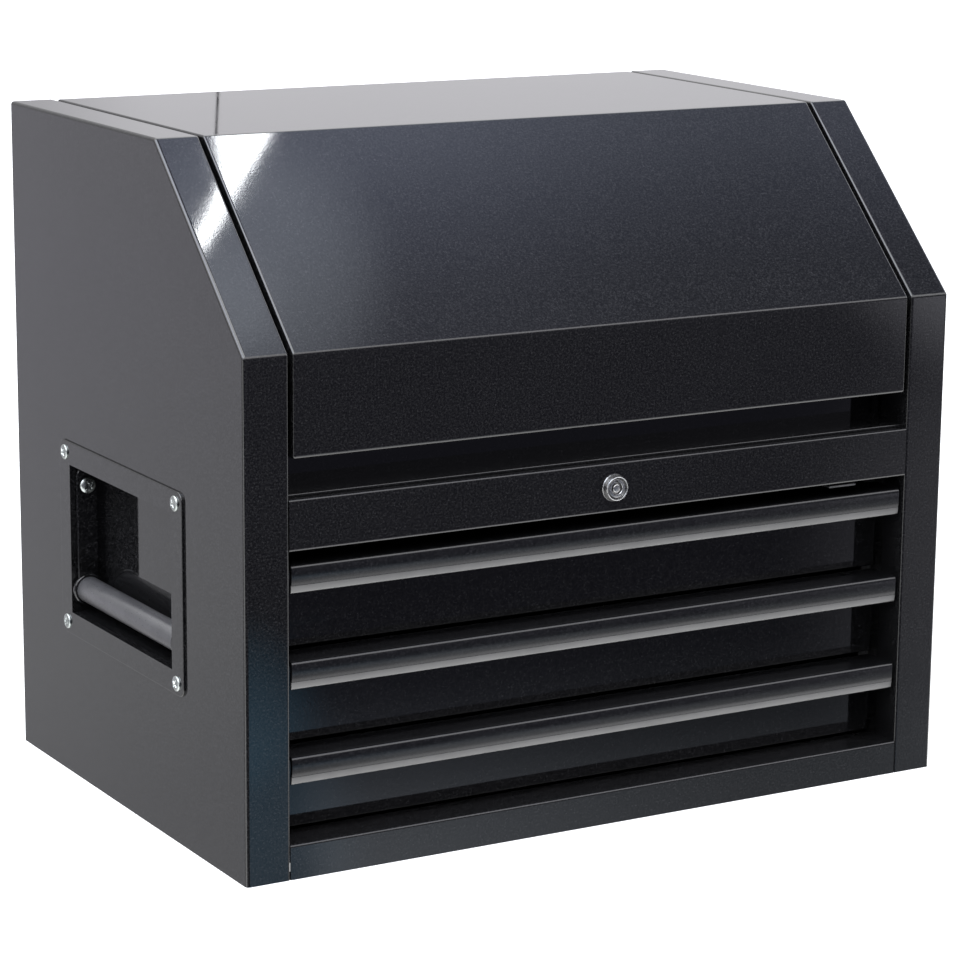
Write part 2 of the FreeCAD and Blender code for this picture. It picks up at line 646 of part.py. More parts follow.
# piano hinge: interleaved knuckles on one pin
seg = 24
knuckle_len = lid_half * 2 / seg
lid_parts = [box(-lid_half, lid_half, yb, yb + skin, hinge_z, hinge_z + 16.0)]
body_parts = [box(-lid_half, lid_half, yb, yb + skin, hinge_z - 17.0, hinge_z)]
lid_cuts = [rod(-lid_half - 1.0, hinge_y, hinge_z, "x", 1.45, lid_half * 2 + 2.0)]
body_cuts = [rod(-lid_half - 1.0, hinge_y, hinge_z, "x", 1.45, lid_half * 2 + 2.0)]
for i in range(seg):
    x0 = -lid_half + knuckle_len * i
    cyl = rod(x0 + 0.15, hinge_y, hinge_z, "x", knuckle, knuckle_len - 0.3)
    gap = box(x0, x0 + knuckle_len, yb - 1.0, yb + 7.0, hinge_z - knuckle - 0.35, hinge_z + knuckle + 0.35)
    if i % 2 == 0:
        body_parts.append(cyl)
        lid_cuts.append(gap)
    else:
        lid_parts.append(cyl)
        body_cuts.append(gap)
cut("hinge_leaf_lid", fuse("hinge_lid_solid", lid_parts), lid_cuts, node=True)
cut("hinge_leaf_body", fuse("hinge_body_solid", body_parts), body_cuts, node=True)
p = rod(-lid_half, hinge_y, hinge_z, "x", 1.4, lid_half * 2, "hinge_pin")
p.Label = "hinge_pin"
ALL.append(p)

# ---------------------------------------------------------------- gas struts
dy = strut_lid_y - strut_body_y
dz = strut_lid_z - strut_body_z
closed = vsqrt(dy * dy + dz * dz)
lean = math.degrees(math.atan2(dy.n, dz.n))       # tilt of the strut from upright
studs = []
for s, side in ((1, "right"), (-1, "left")):
    ax = "x" if s > 0 else "-x"
    back = "-x" if s > 0 else "x"
    # ball stud on the liner, and its washer
    studs.append(rod((xi + 1.4) * s, strut_body_y, strut_body_z, back, 8.0, 3.0))
    studs.append(rod((xi + 1.4) * s, strut_body_y, strut_body_z, back, 4.0, xi + 1.4 - strut_x + 3.5))
fuse("strut_body_studs", studs, node=True)
brackets = []
for s, side in ((1, "right"), (-1, "left")):
    back = "-x" if s > 0 else "x"
    lo, hi = sided(s, lid_half - skin - 2.0, lid_half - skin)
    brackets.append(box(lo, hi, strut_lid_y - 14.0, strut_lid_y + 14.0, strut_lid_z - 10.0, height - skin - 2.0))
    brackets.append(rod((lid_half - skin) * s, strut_lid_y, strut_lid_z, back, 4.0, lid_half - skin - strut_x - 4.4))
fuse("strut_lid_brackets", brackets, node=True)

for s, side in ((1, "right"), (-1, "left")):
    sx = strut_x * s
    lo, hi = sided(s, strut_x - 4.0, strut_x + 4.0)
    rot = FreeCAD.Rotation(FreeCAD.Vector(1, 0, 0), -lean)

    def on_strut(obj, up):
        """Stands obj along the strut's line, up from the lower pivot."""
        obj.Placement = FreeCAD.Placement(FreeCAD.Vector(num(sx), num(strut_body_y), num(strut_body_z))
                                          + rot.multVec(FreeCAD.Vector(0, 0, up)), rot)
        return obj
    tube = on_strut(rod(0, 0, 0, "z", 7.5, closed - 34.0), 11.0)
    tube.setExpression("Placement.Base.x", None)
    for q in ("x", "y", "z"):
        tube.setExpression("Placement.Base." + q, None)
    eye = rod(lo, strut_body_y, strut_body_z, "x", 7.5, hi - lo)
    neck = on_strut(rod(0, 0, 0, "z", 3.4, 8.0), 5.2)
    hollow = on_strut(rod(0, 0, 0, "z", 5.5, closed - 40.0), 14.0)
    mouth = on_strut(rod(0, 0, 0, "z", 3.9, 12.0), closed.n - 32.0)
    for o in (neck, hollow, mouth):
        for q in ("x", "y", "z"):
            o.setExpression("Placement.Base." + q, None)
    bore = rod(lo - 1.0, strut_body_y, strut_body_z, "x", 4.05, hi - lo + 2.0)
    cut("strut_cylinder_" + side, fuse("strut_tube_%s_solid" % side, [tube, eye, neck]), [bore, hollow, mouth], node=True)
    stem = on_strut(rod(0, 0, 0, "z", 3.6, closed - 32.0), 26.0)
    piston = on_strut(rod(0, 0, 0, "z", 5.3, 8.0), 22.0)
    for o in (stem, piston):
        for q in ("x", "y", "z"):
            o.setExpression("Placement.Base." + q, None)
    eye2 = rod(lo, strut_lid_y, strut_lid_z, "x", 7.0, hi - lo)
    bore2 = rod(lo - 1.0, strut_lid_y, strut_lid_z, "x", 4.3, hi - lo + 2.0)
    cut("strut_rod_" + side, fuse("strut_rod_%s_solid" % side, [stem, piston, eye2]), [bore2], node=True)

# ---------------------------------------------------------------- slides
def channel(label, s, x_web, x_open, half, y0, y1, zc, web_out):
    """A C section along Y: web at x_web, flanges reaching x_open."""
    b = inner_body(label)
    x_web, x_open = V.of(x_web), V.of(x_open)
    if web_out:
        pts = [(x_web, zc - half), (x_web, zc + half), (x_open, zc + half), (x_open, zc + half - skin),
               (x_web - skin, zc + half - skin), (x_web - skin, zc - half + skin),
               (x_open, zc - half + skin), (x_open, zc - half)]
    else:
        pts = [(x_web, zc - half), (x_web, zc + half), (x_open, zc + half), (x_open, zc + half - skin),
               (x_web + skin, zc + half - skin), (x_web + skin, zc - half + skin),
               (x_open, zc - half + skin), (x_open, zc - half)]
    if s < 0:
        pts = [(-p[0], p[1]) for p in pts]
    pad(b, label + "_section", "XZ_Plane", [pts], y0, y1)
    return b


outers = []
for n, pb, fb, bb in LEVELS:
    zc = bb + slide_up
    for s in (1, -1):
        outers.append(channel("outer_%d_%d" % (n, s + 1), s, xi + 1.4, box_half + 4.0, 19.0,
                              V.of(-178.0), V.of(168.0), zc, True))
group("slide_outer_members", outers)
for n, pb, fb, bb in LEVELS:
    zc = bb + slide_up
    group("slide_middle_members_%d" % n,
          [channel("middle_%d_%d" % (n, s + 1), s, xi - 0.4, box_half + 3.0, 14.6, V.of(-177.4), V.of(160.0), zc, True)
           for s in (1, -1)])
    group("slide_inner_members_%d" % n,
          [channel("inner_%d_%d" % (n, s + 1), s, box_half, box_half + 8.4, 10.2, V.of(-176.8), V.of(165.0), zc, False)
           for s in (1, -1)])

# ---------------------------------------------------------------- drawers
fy = yf + drawer_recess
front_hem = V.of(2.4)
for n, pb, fb, bb in LEVELS:
    face_top = pb + pull_height - 0.2
    b = new_body("drawer_front_%d" % n)
    name = "drawer_front_%d" % n
    fx = xi - 3.5
    pad(b, name + "_block", "XZ_Plane", [rect(-fx, fx, fb, face_top)], fy, fy + front_hem)
    fillet(b, name + "_bends", lambda e: near(e.CenterOfMass.y, fy) and (along(e, "x") or along(e, "z")), 1.6)
    pocket(b, name + "_hollow", "XZ_Plane", [rect(-fx + skin, fx - skin, fb + skin, face_top - skin)], fy + skin, fy + 9.0)

    # tray folded from one sheet: front, floor and back; the side walls are spot-welded on
    name = "drawer_box_%d" % n
    inside = box_half - thin
    b = inner_body("tray_%d" % n)
    pad(b, "tray_%d_fold" % n, "YZ_Plane",
        [[(fy + skin, bb), (box_rear, bb), (box_rear, bb + box_height), (box_rear - thin, bb + box_height),
          (box_rear - thin, bb + thin), (fy + skin + thin, bb + thin), (fy + skin + thin, bb + box_height),
          (fy + skin, bb + box_height)]], -inside, inside)
    welded = [b]
    for s, side in ((1, "right"), (-1, "left")):
        lo, hi = sided(s, inside, box_half)
        welded.append(box(lo, hi, fy + skin, box_rear, bb, bb + box_height, "wall_%s_%d" % (side, n)))
    # the catch for the lock, welded to the right wall
    welded.append(box(box_half, box_half + 8.0, V.of(-171.5), V.of(-168.5),
                      bb + box_height - 9.0, bb + box_height, "catch_%d" % n))
    group(name, welded)

    b = new_body("drawer_pull_%d" % n)
    name = "drawer_pull_%d" % n
    h = pull_height

    def q(dy_, dz_):
        return (yf + dy_, pb + dz_)
    pad(b, name + "_section", "YZ_Plane",
        [[q(35.0, h), q(9.0, h), q(7.4, h - 0.5), q(5.6, h - 2.4), q(4.0, h - 5.2), q(3.0, h - 7.8), q(2.6, h - 9.6),
          q(3.0, 8.5), q(3.6, 6.4), q(4.4, 6.4), q(5.2, 2.0), q(6.6, 2.0), q(6.8, 7.0), q(7.6, h - 6.0),
          q(9.6, h - 3.4), q(12.0, h - 2.4), q(33.4, h - 2.4), q(33.4, 4.0), q(35.0, 4.0)]], -xi + 3.2, xi - 3.2)
    b = new_body("pull_trim_%d" % n)
    pad(b, "pull_trim_%d_section" % n, "YZ_Plane",
        [[q(3.4, 6.3), q(4.35, 6.3), q(5.15, 1.9), q(6.6, 1.9), q(6.6, 0.0), q(5.6, 0.0), q(4.5, 0.5), q(4.0, 1.4)]],
        -xi + 3.2, xi - 3.2)

# ---------------------------------------------------------------- lock
fuse_l = fuse("lock_housing_solid", [rod(V.of(0.0), yf, lock_z, "-y", 11.3, 5.2), cone(V.of(0.0), yf - 5.2, lock_z, "-y", 11.3, 10.2, 0.9),
                                     rod(V.of(0.0), yf, lock_z, "y", 9.4, 20.0)])
cut("lock_housing", fuse_l, [rod(V.of(0.0), yf - 8.0, lock_z, "y", 8.0, 30.0)], node=True)
b = new_body("lock_nut")
hexa = []
for i in range(6):
    ang = math.radians(60 * i + 30)
    hexa.append((V.of(13.2 * math.cos(ang)), lock_z + 13.2 * math.sin(ang)))
pad(b, "lock_nut_hex", "XZ_Plane", [hexa, ("circle", V.of(0.0), lock_z, V.of(9.5))], yf + skin, yf + skin + 3.2)
plug = fuse("lock_plug_solid", [rod(V.of(0.0), yf - 5.1, lock_z, "y", 7.95, 29.1), rod(V.of(0.0), yf + 24.0, lock_z, "y", 4.0, 2.0)])
ring = cut("lock_keyway", rod(V.of(0.0), yf - 6.0, lock_z, "y", 5.0, 6.0), [rod(V.of(0.0), yf - 7.0, lock_z, "y", 3.4, 8.0)])
notch = box(V.of(-0.9), V.of(0.9), yf - 6.0, yf, lock_z + 4.5, lock_z + 6.4)
cut("lock_plug", plug, [ring, notch], node=True)
ycam = yf + 26.0
arm_b = inner_body("cam_arm")
pad(arm_b, "cam_arm_plate", "XZ_Plane",
    [[(V.of(-4.6), lock_z + 4.0), (V.of(4.6), lock_z + 4.6), (V.of(7.0), lock_z), (cam_s + 3.6, lock_z - cam_s + 0.4),
      (cam_s - 0.4, lock_z - cam_s - 3.6), (V.of(0.0), lock_z - 7.0), (V.of(-4.6), lock_z - 4.6)]], ycam, ycam + 2.0)
fuse("lock_cam", [arm_b, rod(cam_s, ycam + 2.0, lock_z - cam_s, "y", 2.0, 4.2)], node=True)

yc = ycam + 4.0                     # cross bar
b = new_body("lock_cross_bar")
pad(b, "cross_bar_strip", "XZ_Plane",
    [[(V.of(-2.0), V.of(267.0)), (V.of(318.0), V.of(267.0)), (V.of(325.5), V.of(276.0)), (V.of(325.5), V.of(290.0)),
      (V.of(318.0), V.of(290.0)), (V.of(318.0), V.of(349.5)), (V.of(311.0), V.of(349.5)), (V.of(311.0), V.of(290.0)),
      (V.of(305.0), V.of(290.0)), (V.of(300.0), V.of(279.0)),
      (V.of(14.0), V.of(279.0)), (V.of(14.0), V.of(283.0)), (V.of(-2.0), V.of(283.0))],
     rect(cam_s - 2.6, cam_s + 2.6, lock_z - cam_radius - 2.8, lock_z - cam_s + 2.8),
     rect(a_x - 2.6, a_x + 2.6, a_z - 2.8, crank_z + arm + 2.8)], yc, yc + 2.0)
pad(b, "cross_bar_bolt", "YZ_Plane", [("circle", V.of(-190.6), V.of(345.0), V.of(2.8))], V.of(295.5), V.of(312.0))

b = new_body("lock_bar_guide")
pad(b, "bar_guide_fold", "YZ_Plane",
    [[(yf + 1.0, V.of(260.6)), (yf + 33.6, V.of(260.6)), (yf + 33.6, V.of(285.0)), (yf + 27.0, V.of(285.0)),
      (yf + 27.0, V.of(280.0)), (yf + 28.2, V.of(280.0)), (yf + 28.2, V.of(283.8)), (yf + 32.4, V.of(283.8)),
      (yf + 32.4, V.of(262.0)), (yf + 1.0, V.of(262.0))]], V.of(214.0), V.of(241.0))

ck = inner_body("crank_plate")
pad(ck, "crank_plate_sheet", "XZ_Plane",
    [[(crank_x + 4.6, crank_z - 3.0), (a_x + 3.8, a_z), (a_x + 1.0, a_z + 3.8), (a_x - 3.4, a_z + 2.4),
      (crank_x - 1.0, crank_z + 6.4), (b_x + 1.5, b_z + 4.0), (b_x - 3.2, b_z + 2.0), (b_x - 2.4, b_z - 3.4),
      (crank_x - 3.0, crank_z - 5.2), (crank_x + 2.0, crank_z - 5.2)],
     ("circle", crank_x, crank_z, V.of(2.55))], yf + 32.5, yf + 34.5)
fuse("lock_bell_crank", [ck, rod(a_x, yf + 32.5, a_z, "-y", 2.0, 3.6), rod(b_x, yf + 34.5, b_z, "y", 2.0, 14.5)], node=True)
hang = inner_body("crank_bracket_plate")
pad(hang, "crank_bracket_sheet", "XZ_Plane",
    [[(xi + 2.4, V.of(287.0)), (V.of(308.0), V.of(287.0)), (V.of(308.0), V.of(264.0)), (V.of(318.0), V.of(264.0)),
      (V.of(318.0), V.of(299.0)), (xi + 2.4, V.of(299.0))]], yf + 35.5, yf + 36.7)
straps = [fuse("crank_bracket", [hang, rod(crank_x, yf + 36.0, crank_z, "-y", 2.5, 3.8)])]

b = new_body("lock_side_rod")
yr = V.of(-176.0)
low_tab = LEVELS[2][3] + tab_low
pad(b, "side_rod_strip", "XZ_Plane",
    [rect(V.of(296.4), V.of(303.4), low_tab - 4.0, V.of(272.0)),], yr, yr + 2.0)
pad(b, "side_rod_head", "XZ_Plane", [rect(V.of(294.8), V.of(306.6), V.of(271.0), V.of(284.5))], yr, yr + 2.0)
pocket(b, "side_rod_slot", "XZ_Plane", [rect(V.of(296.0), V.of(303.6), b_z - 2.6, b_z + 2.6)], yr - 1.0, yr + 3.0)
for n, pb, fb, bb in LEVELS:
    pad(b, "side_rod_tab_%d" % n, "XZ_Plane", [rect(V.of(284.2), V.of(297.0), bb + tab_low, bb + tab_low + tab_tall)], yr, yr + 2.0)
for z in (120.0, 196.0):
    straps.append(cut("rod_strap_%d" % int(z), box(xi + 2.4, V.of(307.0), yr - 2.2, yr + 4.2, V.of(z), V.of(z + 9.0)),
                      [box(xi + 1.4, V.of(304.2), yr - 0.4, yr + 2.4, V.of(z - 1.0), V.of(z + 10.0))]))
group("lock_brackets", straps)

# ---------------------------------------------------------------- check and write
doc.recompute()
bad = []
for o in doc.Objects:
    st = [str(x) for x in o.State]
    if "Invalid" in st or "Error" in st:
        bad.append("%s %s" % (o.Label, st))
labels = [o.Label for o in ALL]
if len(set(labels)) != len(labels):
    bad.append("labels repeat")
for o in ALL:
    if o.Shape.isNull() or not o.Shape.isValid() or not o.Shape.Solids:
        bad.append("%s has no valid solid" % o.Label)
if bad:
    raise RuntimeError("; ".join(bad))
os.makedirs("parts", exist_ok=True)
for o in ALL:
    o.Shape.exportStep("parts/%s.step" % o.Label)
print(len(ALL), "nodes")
for o in ALL:
    bb = o.Shape.BoundBox
    print("%-28s solids %2d  vol %9.0f  x %7.1f %7.1f  y %7.1f %7.1f  z %7.1f %7.1f" % (
        o.Label, len(o.Shape.Solids), o.Shape.Volume, bb.XMin, bb.XMax, bb.YMin, bb.YMax, bb.ZMin, bb.ZMax))
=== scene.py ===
import json
import math

import bmesh
import bpy
from mathutils import Matrix, Vector


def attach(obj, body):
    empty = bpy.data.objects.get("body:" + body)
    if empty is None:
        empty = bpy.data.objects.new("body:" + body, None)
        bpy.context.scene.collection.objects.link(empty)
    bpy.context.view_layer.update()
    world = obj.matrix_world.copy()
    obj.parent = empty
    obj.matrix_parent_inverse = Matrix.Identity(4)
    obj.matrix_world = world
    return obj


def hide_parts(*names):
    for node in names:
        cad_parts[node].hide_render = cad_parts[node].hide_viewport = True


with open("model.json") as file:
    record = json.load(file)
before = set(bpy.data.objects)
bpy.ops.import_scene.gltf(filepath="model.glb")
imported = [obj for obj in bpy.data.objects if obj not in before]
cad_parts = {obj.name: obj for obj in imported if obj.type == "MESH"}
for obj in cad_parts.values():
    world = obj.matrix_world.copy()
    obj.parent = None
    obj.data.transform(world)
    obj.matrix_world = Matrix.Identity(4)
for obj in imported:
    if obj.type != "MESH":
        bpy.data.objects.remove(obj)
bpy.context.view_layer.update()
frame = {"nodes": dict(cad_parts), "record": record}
nodes = frame["nodes"]
scene = bpy.context.scene
MM = 0.001

# Row frame: origin at the middle of the base, +X right, +Y back, +Z up, metres.
# Lengths below are written in mm and scaled by MM where meshes are made.


# ------------------------------------------------------------------ node helpers
class Mat:
    """A material under construction: short calls that add and link shader nodes."""

    def __init__(self, name):
        self.m = bpy.data.materials.new(name)
        self.m.use_nodes = True
        self.t = self.m.node_tree
        self.t.nodes.clear()
        self.out = self.t.nodes.new("ShaderNodeOutputMaterial")
        self.b = self.t.nodes.new("ShaderNodeBsdfPrincipled")
        self.t.links.new(self.b.outputs[0], self.out.inputs[0])
        self.co = self.t.nodes.new("ShaderNodeTexCoord").outputs["Object"]

    def set(self, **kw):
        for k, v in kw.items():
            self.b.inputs[k.replace("_", " ")].default_value = v
        return self

    def scaled(self, sx, sy, sz):
        n = self.t.nodes.new("ShaderNodeMapping")
        n.inputs["Scale"].default_value = (sx, sy, sz)
        self.t.links.new(self.co, n.inputs["Vector"])
        return n.outputs[0]

    def noise(self, scale, detail=2.0, rough=0.5, co=None, distortion=0.0):
        n = self.t.nodes.new("ShaderNodeTexNoise")
        n.inputs["Scale"].default_value = scale
        n.inputs["Detail"].default_value = detail
        n.inputs["Roughness"].default_value = rough
        n.inputs["Distortion"].default_value = distortion
        self.t.links.new(co or self.co, n.inputs["Vector"])
        return n.outputs["Fac"]

    def cells(self, scale, co=None):
        n = self.t.nodes.new("ShaderNodeTexVoronoi")
        n.inputs["Scale"].default_value = scale
        self.t.links.new(co or self.co, n.inputs["Vector"])
        return n.outputs["Distance"]

    def span(self, x, a, b, lo, hi, smooth=False):
        n = self.t.nodes.new("ShaderNodeMapRange")
        n.interpolation_type = "SMOOTHSTEP" if smooth else "LINEAR"
        for i, v in ((1, a), (2, b), (3, lo), (4, hi)):
            n.inputs[i].default_value = v
        self.t.links.new(x, n.inputs[0])
        return n.outputs[0]

    def math(self, op, a, b=None):
        n = self.t.nodes.new("ShaderNodeMath")
        n.operation = op
        for i, v in ((0, a), (1, b)):
            if v is None:
                continue
            if isinstance(v, (int, float)):
                n.inputs[i].default_value = v
            else:
                self.t.links.new(v, n.inputs[i])
        return n.outputs[0]

    def mix(self, fac, a, b):
        n = self.t.nodes.new("ShaderNodeMix")
        n.data_type = "RGBA"
        self.t.links.new(fac, n.inputs[0])
        for i, v in ((6, a), (7, b)):
            if isinstance(v, tuple):
                n.inputs[i].default_value = v + (1.0,)
            else:
                self.t.links.new(v, n.inputs[i])
        return n.outputs[2]

    def link(self, x, socket):
        self.t.links.new(x, self.b.inputs[socket])
        return self

    def bump(self, *layers):
        """layers: (height, strength, distance in metres), stacked."""
        last = None
        for h, strength, dist in layers:
            n = self.t.nodes.new("ShaderNodeBump")
            n.inputs["Strength"].default_value = strength
            n.inputs["Distance"].default_value = dist
            self.t.links.new(h, n.inputs["Height"])
            if last is not None:
                self.t.links.new(last, n.inputs["Normal"])
            last = n.outputs[0]
        self.t.links.new(last, self.b.inputs["Normal"])
        return self


# ------------------------------------------------------------------ materials
def paint(name, dark, light, r_lo, r_hi, peel=0.006, wave=0.014, grain=0.017, pebble=0.024):
    """Gloss enamel: deep base with a fine fleck, orange peel, slow sheet waves, dust nibs, faint rub marks."""
    m = Mat(name)
    m.set(Metallic=0.0, IOR=1.5)
    cloud = m.noise(9.0, 4.0, 0.6)
    speck = m.noise(640.0, 2.5, 0.70)
    fleck = m.math("POWER", m.span(speck, 0.30, 0.72, 0.0, 1.0), 2.1)
    low = tuple(c * 0.12 for c in dark)
    high = tuple(c + grain for c in light)
    body = m.mix(fleck, low, high)
    deep = m.mix(fleck, tuple(c * 0.8 for c in low), tuple(c * 0.85 for c in high))
    m.link(m.mix(m.span(cloud, 0.3, 0.7, 0.0, 1.0), body, deep), "Base Color")
    patch = m.noise(26.0, 5.0, 0.62)
    rub = m.noise(1.0, 3.0, 0.5, m.scaled(14.0, 14.0, 260.0))
    rough = m.span(patch, 0.3, 0.75, r_lo, r_hi)
    rough = m.math("ADD", rough, m.span(rub, 0.62, 0.8, 0.0, 0.03))
    nib = m.span(m.cells(170.0), 0.0, 0.045, 0.12, 0.0)
    m.link(m.math("ADD", rough, nib), "Roughness")
    m.bump((m.noise(5.5, 1.0), wave, 0.004), (m.noise(330.0, 2.0, 0.5), peel, 0.0006),
           (speck, pebble, 0.00022), (nib, 0.06, 0.0004))
    return m.m


def metal(name, lo, hi, r_lo, r_hi, grain=(900.0, 900.0, 900.0), bump=0.05, spangle=40.0):
    m = Mat(name)
    m.set(Metallic=1.0)
    a = m.noise(spangle, 4.0, 0.6)
    m.link(m.mix(m.span(a, 0.3, 0.7, 0.0, 1.0), lo, hi), "Base Color")
    g = m.noise(1.0, 2.0, 0.6, m.scaled(*grain))
    m.link(m.math("ADD", m.span(g, 0.3, 0.7, r_lo, r_hi), m.span(a, 0.5, 0.8, 0.0, 0.06)), "Roughness")
    m.bump((g, bump, 0.0002))
    return m.m


def plastic(name, dark, light, r_lo, r_hi, scale=500.0, bump=0.08):
    m = Mat(name)
    m.set(IOR=1.48)
    a = m.noise(60.0, 4.0, 0.6)
    m.link(m.mix(m.span(a, 0.3, 0.7, 0.0, 1.0), dark, light), "Base Color")
    g = m.noise(scale, 3.0, 0.6)
    m.link(m.span(g, 0.3, 0.7, r_lo, r_hi), "Roughness")
    m.bump((g, bump, 0.0003))
    return m.m


MATS = {
    "black_paint": paint("enamel_black", (0.0045, 0.0046, 0.0054), (0.0050, 0.0051, 0.0060), 0.025, 0.055),
    "pull_black": paint("pull_enamel", (0.0060, 0.0062, 0.0074), (0.0085, 0.0088, 0.0102), 0.12, 0.19, 0.02, 0.02, 0.006, 0.008),
    "pull_trim": metal("trim_aluminium", (0.120, 0.120, 0.120), (0.146, 0.146, 0.145), 0.36, 0.48, (30.0, 2200.0, 2200.0), 0.06, 30.0),
    "zinc_slide": metal("slide_zinc", (0.55, 0.57, 0.60), (0.72, 0.73, 0.74), 0.20, 0.36, (700.0, 40.0, 700.0), 0.05, 55.0),
    "zinc_fastener": metal("fastener_zinc", (0.27, 0.295, 0.29), (0.40, 0.42, 0.41), 0.20, 0.36, (900.0, 900.0, 900.0), 0.08, 160.0),
    "zinc_hardware": metal("hardware_zinc", (0.50, 0.52, 0.53), (0.68, 0.68, 0.66), 0.26, 0.42, (600.0, 600.0, 600.0), 0.06, 70.0),
    "lock_chrome": metal("lock_chrome", (0.24, 0.242, 0.245), (0.44, 0.44, 0.435), 0.16, 0.32, (1400.0, 1400.0, 1400.0), 0.06, 300.0),
    "grip_tube": plastic("grip_enamel", (0.034, 0.034, 0.036), (0.044, 0.044, 0.046), 0.26, 0.40, 420.0, 0.05),
    "strut_tube": plastic("strut_enamel", (0.012, 0.012, 0.013), (0.020, 0.020, 0.021), 0.28, 0.42, 700.0, 0.05),
    "strut_stem": metal("stem_chrome", (0.66, 0.66, 0.68), (0.76, 0.76, 0.77), 0.05, 0.13, (900.0, 900.0, 60.0), 0.02, 50.0),
    "bumper_rubber": plastic("bumper_rubber", (0.014, 0.014, 0.014), (0.026, 0.025, 0.024), 0.55, 0.75, 900.0, 0.15),
}
guide_dull = metal("guide_dull_zinc", (0.085, 0.086, 0.088), (0.13, 0.13, 0.13), 0.42, 0.56, (600.0, 600.0, 600.0), 0.06, 70.0)
inner_paint = paint("enamel_black_inside", (0.0055, 0.0056, 0.0062), (0.0085, 0.0085, 0.0092), 0.16, 0.30, 0.04, 0.04)

slot_of = {}
for part in frame["record"]["subparts"]:
    slot_of[part["node"]] = part["material_slot"]
INSIDE = {"side_liner_left", "side_liner_right", "base_pan", "till_floor", "lid_stiffeners",
          "drawer_box_1", "drawer_box_2", "drawer_box_3"}


def dress(obj, material):
    if obj.data.materials:
        for i in range(len(obj.data.materials)):
            obj.data.materials[i] = material
    else:
        obj.data.materials.append(material)


for name, obj in nodes.items():
    dress(obj, inner_paint if name in INSIDE else guide_dull if name == "lock_bar_guide" else MATS[slot_of[name]])


# ------------------------------------------------------------------ mesh helpers
def piece(name, bm, body, slot, *replaced, smooth=True, angle=32.0, material=None):
    """Turns bm (in mm) into a piece that rides on body and stands for the nodes replaced."""
    bmesh.ops.remove_doubles(bm, verts=bm.verts, dist=1e-4)
    bmesh.ops.recalc_face_normals(bm, faces=bm.faces)
    bmesh.ops.scale(bm, vec=(MM, MM, MM), verts=bm.verts)
    me = bpy.data.meshes.new(name)
    bm.to_mesh(me)
    bm.free()
    if smooth:
        for p in me.polygons:
            p.use_smooth = True
        me.set_sharp_from_angle(angle=math.radians(angle))
    ob = bpy.data.objects.new(name, me)
    scene.collection.objects.link(ob)
    me.materials.append(material or MATS[slot])
    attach(ob, body)
    if replaced:
        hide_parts(*replaced)
    return ob


def basis(axis):
    """Columns: two cross directions and the axis, for lathed shapes."""
    w = Vector(axis).normalized()
    u = Vector((0, 0, 1)) if abs(w.z) < 0.9 else Vector((0, 1, 0))
    u = (u - w * u.dot(w)).normalized()
    return Matrix((u, w.cross(u), w)).transposed()


def lathe(bm, at, axis, profile, seg=48, closed=False):
    """Revolves profile [(radius, along)] round axis through at. Open ends are capped."""
    m = basis(axis)
    rings = []
    for r, h in profile:
        if r < 1e-6:
            rings.append([bm.verts.new(Vector(at) + m @ Vector((0, 0, h)))])
        else:
            rings.append([bm.verts.new(Vector(at) + m @ Vector((r * math.cos(2 * math.pi * i / seg),
                                                                r * math.sin(2 * math.pi * i / seg), h)))
                          for i in range(seg)])
    pairs = list(zip(rings, rings[1:]))
    if closed:
        pairs.append((rings[-1], rings[0]))
    for a, b in pairs:
        for i in range(seg):
            j = (i + 1) % seg
            if len(a) == 1 and len(b) == 1:
                continue
            if len(a) == 1:
                bm.faces.new((a[0], b[j], b[i]))
            elif len(b) == 1:
                bm.faces.new((a[i], a[j], b[0]))
            else:
                bm.faces.new((a[i], a[j], b[j], b[i]))
    if not closed:
        for ring in (rings[0], rings[-1]):
            if len(ring) > 1:
                bm.faces.new(ring)
    return bm


def smoothstep(a, b, x):
    t = max(0.0, min(1.0, (x - a) / (b - a)))
    return t * t * (3 - 2 * t)


